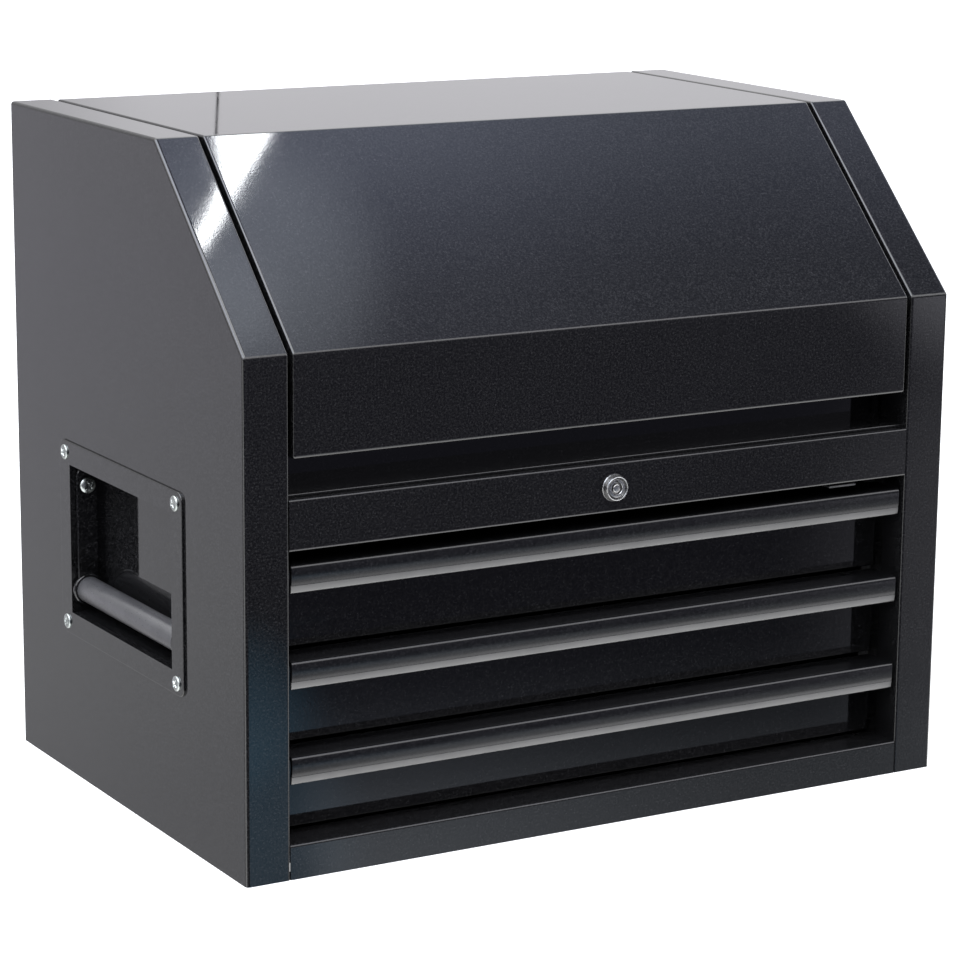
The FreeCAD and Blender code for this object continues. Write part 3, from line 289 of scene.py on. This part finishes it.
def screw_head(bm, at, axis, radius, height, rim, turn, recess=1.5, kind="cross", sink=0.0):
    """A domed head with a pressed drive recess, as one height field over rings, closed underneath."""
    m = basis(axis)
    rings, seg = 30, 72
    grid = []
    arm, reach = radius * 0.145, radius * 0.56

    def top(x, y):
        r = math.hypot(x, y)
        t = min(1.0, r / radius)
        h = rim + (height - rim) * math.sqrt(max(0.0, 1 - t * t)) ** 0.9
        if kind == "cross":
            taper = 1 - 0.30 * min(1.0, r / reach)
            d = min(max(abs(x) - arm * taper, abs(y) - reach), max(abs(y) - arm * taper, abs(x) - reach))
            depth = recess * (0.55 + 0.45 * (1 - min(1.0, r / reach)))
            h -= depth * (1 - smoothstep(-0.16, 0.20, d))
        else:
            d = max(abs(x * math.cos(q) + y * math.sin(q)) for q in (0.0, math.pi / 3, 2 * math.pi / 3)) - radius * 0.42
            h -= recess * (1 - smoothstep(-0.14, 0.16, d))
        return h - sink
    centre = bm.verts.new(Vector(at) + m @ Vector((0, 0, top(0, 0))))
    for k in range(1, rings + 1):
        r = radius * (1 - (1 - k / rings) ** 1.15)
        row = []
        for i in range(seg):
            a = 2 * math.pi * i / seg
            x, y = r * math.cos(a), r * math.sin(a)
            ca, sa = math.cos(turn), math.sin(turn)
            h = top(x * ca + y * sa, -x * sa + y * ca)
            row.append(bm.verts.new(Vector(at) + m @ Vector((x, y, h))))
        grid.append(row)
    grid.append([bm.verts.new(Vector(at) + m @ Vector((radius * math.cos(2 * math.pi * i / seg),
                                                       radius * math.sin(2 * math.pi * i / seg), 0.12)))
                 for i in range(seg)])
    grid.append([bm.verts.new(Vector(at) + m @ Vector(((radius - 0.2) * math.cos(2 * math.pi * i / seg),
                                                       (radius - 0.2) * math.sin(2 * math.pi * i / seg), 0.0)))
                 for i in range(seg)])
    for i in range(seg):
        bm.faces.new((centre, grid[0][i], grid[0][(i + 1) % seg]))
    for a, b in zip(grid, grid[1:]):
        for i in range(seg):
            j = (i + 1) % seg
            bm.faces.new((a[i], b[i], b[j], a[j]))
    bm.faces.new(list(reversed(grid[-1])))
    return bm


def spline(points, n):
    """A Catmull-Rom curve through points, n steps a span."""
    out = []
    for i in range(len(points) - 1):
        p0 = points[max(0, i - 1)]
        p1, p2 = points[i], points[i + 1]
        p3 = points[min(len(points) - 1, i + 2)]
        for k in range(n):
            t = k / n
            out.append(tuple(0.5 * (2 * b + (c - a) * t + (2 * a - 5 * b + 4 * c - d) * t * t
                                    + (3 * b - a - 3 * c + d) * t ** 3) for a, b, c, d in zip(p0, p1, p2, p3)))
    out.append(tuple(points[-1]))
    return out


def extrude_x(bm, loop, x0, x1, chamfer=0.25):
    """A closed (y, z) loop swept along X, with softened ends. The loop goes round once."""
    n = len(loop)
    cy = sum(p[0] for p in loop) / n
    cz = sum(p[1] for p in loop) / n
    del cy, cz
    rows = []
    area = sum(loop[i][0] * loop[(i + 1) % n][1] - loop[(i + 1) % n][0] * loop[i][1] for i in range(n))
    sign = 1 if area > 0 else -1

    def inset(d):
        out = []
        for i in range(n):
            a, b, c = loop[i - 1], loop[i], loop[(i + 1) % n]
            e1 = (b[0] - a[0], b[1] - a[1])
            e2 = (c[0] - b[0], c[1] - b[1])
            l1, l2 = math.hypot(*e1) or 1.0, math.hypot(*e2) or 1.0
            n1 = (-e1[1] / l1 * sign, e1[0] / l1 * sign)
            n2 = (-e2[1] / l2 * sign, e2[0] / l2 * sign)
            v = (n1[0] + n2[0], n1[1] + n2[1])
            q = math.hypot(*v) or 1.0
            out.append((b[0] + v[0] / q * d, b[1] + v[1] / q * d))
        return out
    for x, d in ((x0, chamfer), (x0 + chamfer, 0.0), (x1 - chamfer, 0.0), (x1, chamfer)):
        rows.append([bm.verts.new((x, p[0], p[1])) for p in (inset(d) if d else loop)])
    for a, b in zip(rows, rows[1:]):
        for i in range(n):
            j = (i + 1) % n
            bm.faces.new((a[i], a[j], b[j], b[i]))
    for row in (rows[0], rows[-1]):
        bm.faces.new(row)
    return bm


# ------------------------------------------------------------------ sizes that repeat the CAD's
YF, YB, HW, XI = -222.0, 222.0, 330.0, 292.0
HANDLE_Y, HANDLE_Z = 6.5, 208.5
PIVOT_Z, GRIP_X, GRIP_Z = 254.5, 318.0, 164.0
LEVELS = [(1, 229.5), (2, 152.75), (3, 76.0)]      # drawer, pull bottom
LOCK_Z = 284.0

# ------------------------------------------------------------------ handle fasteners
bm = bmesh.new()
turns = [0.31, 1.12, 0.77, 0.05, 0.93, 0.48, 1.38, 0.66]
k = 0
for s in (1, -1):
    for i in (-1, 1):
        for j in (-1, 1):
            at = ((HW + 2.0) * s, HANDLE_Y + 109.0 * i, HANDLE_Z + 73.5 * j)
            screw_head(bm, at, (s, 0, 0), 6.35, 2.45, 0.75, turns[k], 1.15)
            lathe(bm, at, (-s, 0, 0), [(2.2, -0.2), (2.2, 8.8), (1.4, 9.8), (0.0, 10.0)], 20)
            k += 1
piece("handle_plate_screws_fine", bm, "cabinet", "zinc_fastener", "handle_plate_screws", angle=40)

bm = bmesh.new()
for s in (1, -1):
    for i in (-1, 1):
        ye = HANDLE_Y + 100.0 * i
        x = GRIP_X * s
        axis = (0, -i, 0)
        lathe(bm, (x, ye, PIVOT_Z), axis, [(3.1, 0.02), (7.9, 0.02), (8.2, 0.2), (8.2, 0.8), (7.9, 1.0), (3.1, 1.0)], 48, closed=True)
        lathe(bm, (x, ye, PIVOT_Z), axis, [(3.0, -7.8), (3.0, 4.6)], 32)
        screw_head(bm, (x, ye - 4.4 * i, PIVOT_Z), axis, 7.0, 3.9, 0.8, 0.4 + 0.7 * s + 0.9 * i, 1.5)
        hexa = [(5.4, 1.1), (5.6, 1.4), (5.6, 5.2), (5.3, 5.5)]
        lathe(bm, (x, ye, PIVOT_Z), (0, i, 0), hexa, 6)
piece("handle_pivot_bolts_fine", bm, "cabinet", "zinc_fastener", "handle_pivot_bolts", angle=40)

# ------------------------------------------------------------------ bail grips
for s, side in ((1, "right"), (-1, "left")):
    bm = bmesh.new()
    y0, y1 = HANDLE_Y - 100.0 + 4.2, HANDLE_Y + 100.0 - 4.2
    L = y1 - y0
    lathe(bm, (GRIP_X * s, y0, GRIP_Z), (0, 1, 0),
          [(9.5, 0.3), (9.8, 0.02), (10.4, 0.02), (10.85, 0.25), (11.0, 0.8), (11.0, L - 0.8), (10.85, L - 0.25),
           (10.4, L - 0.02), (9.8, L - 0.02), (9.5, L - 0.3)], 72, closed=True)
    piece("handle_grip_%s_fine" % side, bm, "bail_" + side, "grip_tube", "handle_grip_" + side)

    # arms: flat bars with rounded edges, a wide foot round the grip and a rounded top above the pivot
    bm = bmesh.new()
    for i in (-1, 1):
        ye = HANDLE_Y + 100.0 * i
        out, inn = ye - 1.2 * i, ye - 4.2 * i
        outline = []
        top_c = PIVOT_Z + 7.8
        for n in range(25):
            a = math.pi * n / 24
            outline.append((9.0 * math.cos(a), top_c + 9.0 * math.sin(a)))
        a0 = math.pi - math.asin(math.sqrt(13.4 ** 2 - 9.0 ** 2) / 13.4)
        for n in range(49):
            a = a0 + (2 * math.pi - 2 * (a0 - math.pi / 2) - (math.pi - 0.0) * 0.0) * 0.0
            del a
            t = n / 48
            a = a0 + (3 * math.pi - 2 * a0) * t
            outline.append((13.4 * math.cos(a), GRIP_Z + 13.4 * math.sin(a)))
        clean = []
        for p in outline:
            if not clean or math.hypot(p[0] - clean[-1][0], p[1] - clean[-1][1]) > 0.05:
                clean.append(p)
        n = len(clean)
        rows = []
        for y, d in ((out, 0.35), (out - 0.35 * i, 0.0), (inn + 0.35 * i, 0.0), (inn, 0.35)):
            row = []
            for q in range(n):
                a, b, c = clean[q - 1], clean[q], clean[(q + 1) % n]
                ex, ez = c[0] - a[0], c[1] - a[1]
                l = math.hypot(ex, ez) or 1.0
                row.append(bm.verts.new((GRIP_X * s + b[0] - (-ez / l) * -d, y, b[1] - (ex / l) * -d)))
            rows.append(row)
        for a, b in zip(rows, rows[1:]):
            for q in range(n):
                bm.faces.new((a[q], a[(q + 1) % n], b[(q + 1) % n], b[q]))
        for row in (rows[0], rows[-1]):
            bm.faces.new(row)
        # pressed collar that carries the tube
        lathe(bm, (GRIP_X * s, inn + 0.1 * i, GRIP_Z), (0, -i, 0), [(13.1, 0.0), (13.1, 0.5), (12.7, 0.9), (11.3, 0.9)], 60)
        lathe(bm, (GRIP_X * s, inn, GRIP_Z), (0, -i, 0), [(9.4, 0.0), (9.4, 5.6), (9.0, 6.0)], 48)
    piece("handle_arms_%s_fine" % side, bm, "bail_" + side, "black_paint", "handle_arms_" + side)

# ------------------------------------------------------------------ drawer pulls and trims
for n, pb in LEVELS:
    h = 22.5
    nose = [(12.0, h)] + spline([(6.4, h), (5.2, h - 0.12), (4.2, h - 0.50), (3.45, h - 1.2), (3.0, h - 2.1), (2.8, h - 3.4)], 6) \
        + [(2.74, h - 8.0), (2.84, 10.5), (3.1, 8.6), (3.4, 7.2)]
    inner = spline([(6.8, 7.0), (6.3, 10.5), (6.2, h - 5.4), (7.0, h - 3.4), (9.0, h - 2.4), (12.4, h - 2.4)], 5)
    loop = [(35.0, 4.2), (35.0, h - 0.6), (34.4, h)] + nose + [(3.55, 6.4), (4.45, 6.4), (5.25, 2.1), (6.6, 2.1)] \
        + inner + [(32.4, h - 2.4), (33.4, h - 3.4), (33.4, 4.2)]
    bm = bmesh.new()
    extrude_x(bm, [(YF + a, pb + b) for a, b in loop], -288.8, 288.8, 0.3)
    piece("drawer_pull_%d_fine" % n, bm, "drawer_%d" % n, "pull_black", "drawer_pull_%d" % n, angle=38)
    loop = [(3.42, 6.25), (4.33, 6.25), (5.13, 1.9), (6.6, 1.9), (6.6, 0.25), (6.3, 0.02), (5.5, 0.02), (4.8, 0.25),
            (4.3, 0.8), (4.02, 1.5)]
    bm = bmesh.new()
    extrude_x(bm, [(YF + a, pb + b) for a, b in loop], -288.75, 288.75, 0.12)
    piece("pull_trim_%d_fine" % n, bm, "drawer_%d" % n, "pull_trim", "pull_trim_%d" % n, angle=38)

# ------------------------------------------------------------------ lock
bm = bmesh.new()
at = (0.0, YF, LOCK_Z)
lathe(bm, at, (0, -1, 0), [(9.4, -20.0), (9.4, 0.05), (11.25, 0.05), (11.3, 0.3), (11.3, 0.9), (11.1, 1.2), (10.95, 1.9), (10.6, 3.2),
                           (10.25, 4.5), (10.0, 5.3), (9.7, 5.85), (9.3, 6.08), (9.0, 6.05), (8.75, 5.6), (8.6, 4.2), (8.05, 3.6), (8.02, -20.0)], 96, closed=True)
piece("lock_housing_fine", bm, "cabinet", "lock_chrome", "lock_housing", angle=30)

bm = bmesh.new()
seg = 96
prof = [(0.0, 4.9), (2.6, 4.9), (3.1, 4.75), (3.4, 4.4), (3.4, -0.6), (5.0, -0.6), (5.0, 4.5), (5.25, 4.85), (6.6, 4.95), (7.3, 4.8), (7.75, 4.3),
        (7.9, 3.6), (7.9, -22.0), (4.0, -22.0), (4.0, -26.0), (0.0, -26.0)]
m = basis((0, -1, 0))
rings = []
for r, hgt in prof:
    if r < 1e-6:
        rings.append([bm.verts.new(Vector(at) + m @ Vector((0, 0, hgt)))])
        continue
    row = []
    for i in range(seg):
        a = 2 * math.pi * i / seg
        hh = hgt
        if 4.9 < r < 6.0 and hgt > 4.0:            # the key's index notch, at the top
            d = abs(math.atan2(math.sin(a), math.cos(a)))
            if d < 0.17:
                hh = hgt - 2.4
        row.append(bm.verts.new(Vector(at) + m @ Vector((r * math.cos(a), r * math.sin(a), hh))))
    rings.append(row)
for a, b in zip(rings, rings[1:]):
    for i in range(seg):
        j = (i + 1) % seg
        if len(a) == 1:
            bm.faces.new((a[0], b[j], b[i]))
        elif len(b) == 1:
            bm.faces.new((a[i], a[j], b[0]))
        else:
            bm.faces.new((a[i], a[j], b[j], b[i]))
piece("lock_plug_fine", bm, "lock_core", "lock_chrome", "lock_plug", angle=34)

# ------------------------------------------------------------------ rubber bumpers
bm = bmesh.new()
for x in (-220.0, -75.0, 75.0, 220.0):
    lathe(bm, (x, -175.0, 352.0), (0, 0, 1), [(4.9, 0.02), (5.0, 0.6), (4.9, 2.2), (4.4, 3.3), (3.4, 4.0), (1.6, 4.18), (0.0, 4.2)], 40)
piece("lid_bumpers_fine", bm, "cabinet", "bumper_rubber", "lid_bumpers")

# ------------------------------------------------------------------ smooth bends on the CAD sheet pieces
for name, obj in nodes.items():
    if not obj.hide_render:
        for p in obj.data.polygons:
            p.use_smooth = True
        obj.data.set_sharp_from_angle(angle=math.radians(28))

# ------------------------------------------------------------------ floor, backdrop and cards
def stage_piece(name, bm, material, camera=True, glossy=False, diffuse=False):
    me = bpy.data.meshes.new(name)
    bm.to_mesh(me)
    bm.free()
    ob = bpy.data.objects.new(name, me)
    scene.collection.objects.link(ob)
    me.materials.append(material)
    ob.visible_camera = camera
    ob.visible_glossy = glossy
    ob.visible_diffuse = diffuse
    ob.visible_transmission = False
    ob.visible_shadow = False
    return ob


def glow(name, color, strength):
    m = bpy.data.materials.new(name)
    m.use_nodes = True
    t = m.node_tree
    t.nodes.clear()
    o, e = t.nodes.new("ShaderNodeOutputMaterial"), t.nodes.new("ShaderNodeEmission")
    e.inputs[0].default_value = color + (1.0,)
    e.inputs[1].default_value = strength
    t.links.new(e.outputs[0], o.inputs[0])
    return m


bm = bmesh.new()
bmesh.ops.create_circle(bm, cap_ends=True, cap_tris=True, segments=96, radius=42.0)
fm = Mat("floor_pale")
fm.set(Roughness=0.9)
fm.b.inputs["Specular IOR Level"].default_value = 0.0
fm.link(fm.mix(fm.span(fm.noise(0.6, 3.0), 0.3, 0.7, 0.0, 1.0), (0.34, 0.34, 0.345), (0.36, 0.36, 0.36)), "Base Color")
fm.set(Emission_Color=(0.84, 0.84, 0.85, 1.0), Emission_Strength=1.0)
floor = stage_piece("floor", bm, fm.m)
bm = bmesh.new()
bmesh.ops.create_uvsphere(bm, u_segments=48, v_segments=24, radius=41.0)
stage_piece("backdrop", bm, glow("backdrop_white", (1.0, 1.0, 1.0), 1.02))

# a small bent reflector high on the right: the streak on the sloping lid
bm = bmesh.new()
outline = [(0.772, -0.258), (0.876, -0.262), (0.832, -0.326), (0.803, -0.362), (0.787, -0.393), (0.748, -0.447),
           (0.728, -0.430), (0.758, -0.388), (0.784, -0.335)]
bm.faces.new([bm.verts.new((x, y, 2.78)) for x, y in outline])
bmesh.ops.triangulate(bm, faces=bm.faces)
stage_piece("streak_card", bm, glow("streak_white", (0.95, 0.97, 1.0), 38.0), camera=False, glossy=True)
# a long ceiling panel up to the left: the bright lines on the left-hand folds
bm = bmesh.new()
bm.faces.new([bm.verts.new(v) for v in ((0.25, -0.62, 2.78), (-1.75, -0.52, 2.78), (-1.75, -0.92, 2.78), (0.05, -1.02, 2.78))])
stage_piece("left_card", bm, glow("left_white", (0.95, 0.97, 1.0), 7.0), camera=False, glossy=True)

# the thin edge of a standing panel behind, seen as a dark line in the flat top
bm = bmesh.new()
bm.faces.new([bm.verts.new(v) for v in ((1.1918, 3.0, 0.80), (1.1962, 3.0, 0.80), (1.1947, 3.0, 0.90), (1.1872, 3.0, 1.02), (1.1828, 3.0, 1.02), (1.1903, 3.0, 0.90))])
stage_piece("panel_edge", bm, glow("panel_dark", (0.0, 0.0, 0.0), 0.0), camera=False, glossy=True)

# ------------------------------------------------------------------ studio surroundings
world = bpy.data.worlds.new("studio")
scene.world = world
world.use_nodes = True
wt = world.node_tree
wt.nodes.clear()
w_out = wt.nodes.new("ShaderNodeOutputWorld")
bg = wt.nodes.new("ShaderNodeBackground")
wt.links.new(bg.outputs[0], w_out.inputs[0])
w_dir = wt.nodes.new("ShaderNodeTexCoord").outputs["Generated"]
sep = wt.nodes.new("ShaderNodeSeparateXYZ")
wt.links.new(w_dir, sep.inputs[0])


def w_math(op, a, b=None, c=None):
    n = wt.nodes.new("ShaderNodeMath")
    n.operation = op
    for i, v in enumerate((a, b, c)):
        if v is None:
            continue
        if isinstance(v, (int, float)):
            n.inputs[i].default_value = v
        else:
            wt.links.new(v, n.inputs[i])
    return n.outputs[0]


def w_span(x, a, b, lo, hi, smooth=True):
    n = wt.nodes.new("ShaderNodeMapRange")
    n.interpolation_type = "SMOOTHSTEP" if smooth else "LINEAR"
    for i, v in ((1, a), (2, b), (3, lo), (4, hi)):
        n.inputs[i].default_value = v
    wt.links.new(x, n.inputs[0])
    return n.outputs[0]


def w_scale(color, k):
    n = wt.nodes.new("ShaderNodeVectorMath")
    n.operation = "SCALE"
    if isinstance(color, tuple):
        n.inputs[0].default_value = color
    else:
        wt.links.new(color, n.inputs[0])
    if isinstance(k, (int, float)):
        n.inputs["Scale"].default_value = k
    else:
        wt.links.new(k, n.inputs["Scale"])
    return n.outputs[0]


def w_add(a, b):
    n = wt.nodes.new("ShaderNodeVectorMath")
    n.operation = "ADD"
    wt.links.new(a, n.inputs[0])
    wt.links.new(b, n.inputs[1])
    return n.outputs[0]


def lobe(toward, inner, outer, color):
    """A soft round glow about a direction; inner and outer are angles in degrees."""
    v = Vector(toward).normalized()
    n = wt.nodes.new("ShaderNodeVectorMath")
    n.operation = "DOT_PRODUCT"
    wt.links.new(w_dir, n.inputs[0])
    n.inputs[1].default_value = v
    fall = w_span(n.outputs["Value"], math.cos(math.radians(outer)), math.cos(math.radians(inner)), 0.0, 1.0)
    return w_scale(color, fall)


# the room as a section through it, by the angle above the horizon behind the chest
phi = w_math("ARCTAN2", sep.outputs["Z"], sep.outputs["Y"])
turn = w_span(phi, -math.pi, math.pi, 0.0, 1.0, smooth=False)
ROOM = [(-180, (0.20, 0.20, 0.25)), (-168, (0.14, 0.14, 0.19)), (-163, (0.09, 0.09, 0.12)), (-160.8, (0.15, 0.16, 0.21)),
        (-159.0, (0.85, 0.93, 1.05)), (-156, (1.1, 1.15, 1.25)), (-146, (1.4, 1.4, 1.45)), (-132, (2.9, 2.9, 2.95)), (-105, (3.1, 3.1, 3.1)),
        (-72, (2.8, 2.8, 2.8)), (-35, (0.80, 0.80, 0.82)), (-20, (0.60, 0.60, 0.63)), (-16.5, (0.72, 0.72, 0.75)),
        (-10, (0.77, 0.76, 0.84)), (7, (0.90, 0.89, 0.93)), (28, (1.2, 1.2, 1.22)), (46, (3.6, 3.6, 3.65)),
        (62, (3.6, 3.6, 3.65)), (76, (1.8, 1.9, 2.1)), (93, (1.45, 1.58, 2.00)), (95.4, (1.15, 1.26, 1.66)),
        (97.4, (0.58, 0.63, 0.86)), (98.8, (0.40, 0.42, 0.54)), (102, (0.36, 0.38, 0.46)), (105, (1.3, 1.35, 1.5)),
        (110, (3.1, 3.1, 3.2)), (144, (3.1, 3.1, 3.2)), (158, (0.35, 0.35, 0.4)), (180, (0.20, 0.20, 0.25))]
n = wt.nodes.new("ShaderNodeValToRGB")
TOP = 4.0                                   # the ramp holds 0 to 1, so it is written at a quarter and scaled back
while len(n.color_ramp.elements) < len(ROOM):
    n.color_ramp.elements.new(0.5)
for e, (deg, c) in zip(n.color_ramp.elements, ROOM):
    e.position = (deg + 180.0) / 360.0
    e.color = tuple(v / TOP for v in c) + (1.0,)
n.color_ramp.interpolation = "LINEAR"
wt.links.new(turn, n.inputs[0])
across = sep.outputs["X"]
above = w_math("MULTIPLY", w_span(phi, math.radians(72), math.radians(90), 0.0, 1.0),
               w_span(phi, math.radians(118), math.radians(102), 0.0, 1.0))
below = w_math("MULTIPLY", w_span(phi, math.radians(-164), math.radians(-160), 0.0, 1.0),
               w_span(phi, math.radians(-140), math.radians(-154), 0.0, 1.0))
fade_up = w_math("MULTIPLY", w_span(across, 0.45, 0.57, 0.25, -0.40), above)
fade_down = w_math("MULTIPLY", w_span(across, 0.43, 0.56, 0.18, -0.50), below)
cut_left = w_math("MULTIPLY", w_span(across, 0.425, 0.437, -1.0, 0.0), below)
level = w_math("MULTIPLY", w_span(phi, math.radians(-3), math.radians(3), 0.0, 1.0),
               w_span(phi, math.radians(34), math.radians(20), 0.0, 1.0))
dim_corner = w_math("MULTIPLY", w_span(across, 0.37, 0.415, -0.28, 0.0), level)
total = w_math("ADD", w_math("ADD", w_math("ADD", fade_up, fade_down), w_math("ADD", cut_left, dim_corner)), 1.0)
room = w_scale(n.outputs[0], w_math("MULTIPLY", w_math("MAXIMUM", total, 0.0), TOP))
for extra in (lobe((0.432, -0.125, 0.892), 0.4, 2.8, (1.2, 1.3, 1.45)),    # haze round the streak
              lobe((0.428, -0.132, 0.893), 0.2, 1.1, (0.75, 0.8, 0.9)),     # its brighter middle, low on the left flange
              lobe((0.394, -0.86, -0.319), 0.5, 3.6, (0.29, 0.55, 0.80)),    # cool patch low on the left
              lobe((0.415, -0.865, -0.285), 0.8, 1.7, (0.08, 0.26, 0.40)),  # the same, higher on the left-hand post
              lobe((0.625, -0.77, -0.13), 0.5, 3.6, (1.5, 1.5, 1.65)),      # the top of the right-hand post
              lobe((-0.55, -0.05, 0.83), 10.0, 32.0, (6.5, 6.8, 7.5)),      # the long folds of the left side and the lid
              lobe((0.635, -0.75, -0.24), 1.0, 5.0, (0.42, 0.42, 0.46))):   # the right-hand post
    room = w_add(room, extra)
wt.links.new(room, bg.inputs[0])
bg.inputs[1].default_value = 1.0

# ------------------------------------------------------------------ camera
AZ, EL, ROLL, DIST = math.radians(-30.4289), math.radians(13.3808), math.radians(0.6214), 2.91915
LOOK = Vector((0.02455, 0.0, 0.20346))
back = Vector((math.sin(AZ) * math.cos(EL), -math.cos(AZ) * math.cos(EL), math.sin(EL)))
right = Vector((0, 0, 1)).cross(back).normalized()
up = back.cross(right)
r2 = right * math.cos(ROLL) + up * math.sin(ROLL)
u2 = up * math.cos(ROLL) - right * math.sin(ROLL)
cam_data = bpy.data.cameras.new("camera")
cam = bpy.data.objects.new("camera", cam_data)
scene.collection.objects.link(cam)
cam.matrix_world = Matrix.Translation(LOOK + back * DIST) @ Matrix((r2, u2, back)).transposed().to_4x4()
cam_data.sensor_width = 36.0
cam_data.lens = 3361.08 / 960.0 * 36.0
cam_data.shift_x = -20.0 / 960.0
cam_data.shift_y = 45.0 / 960.0
cam_data.clip_start, cam_data.clip_end = 0.05, 200.0
scene.camera = cam
scene.view_settings.view_transform = "Standard"
scene.view_settings.look = "None"
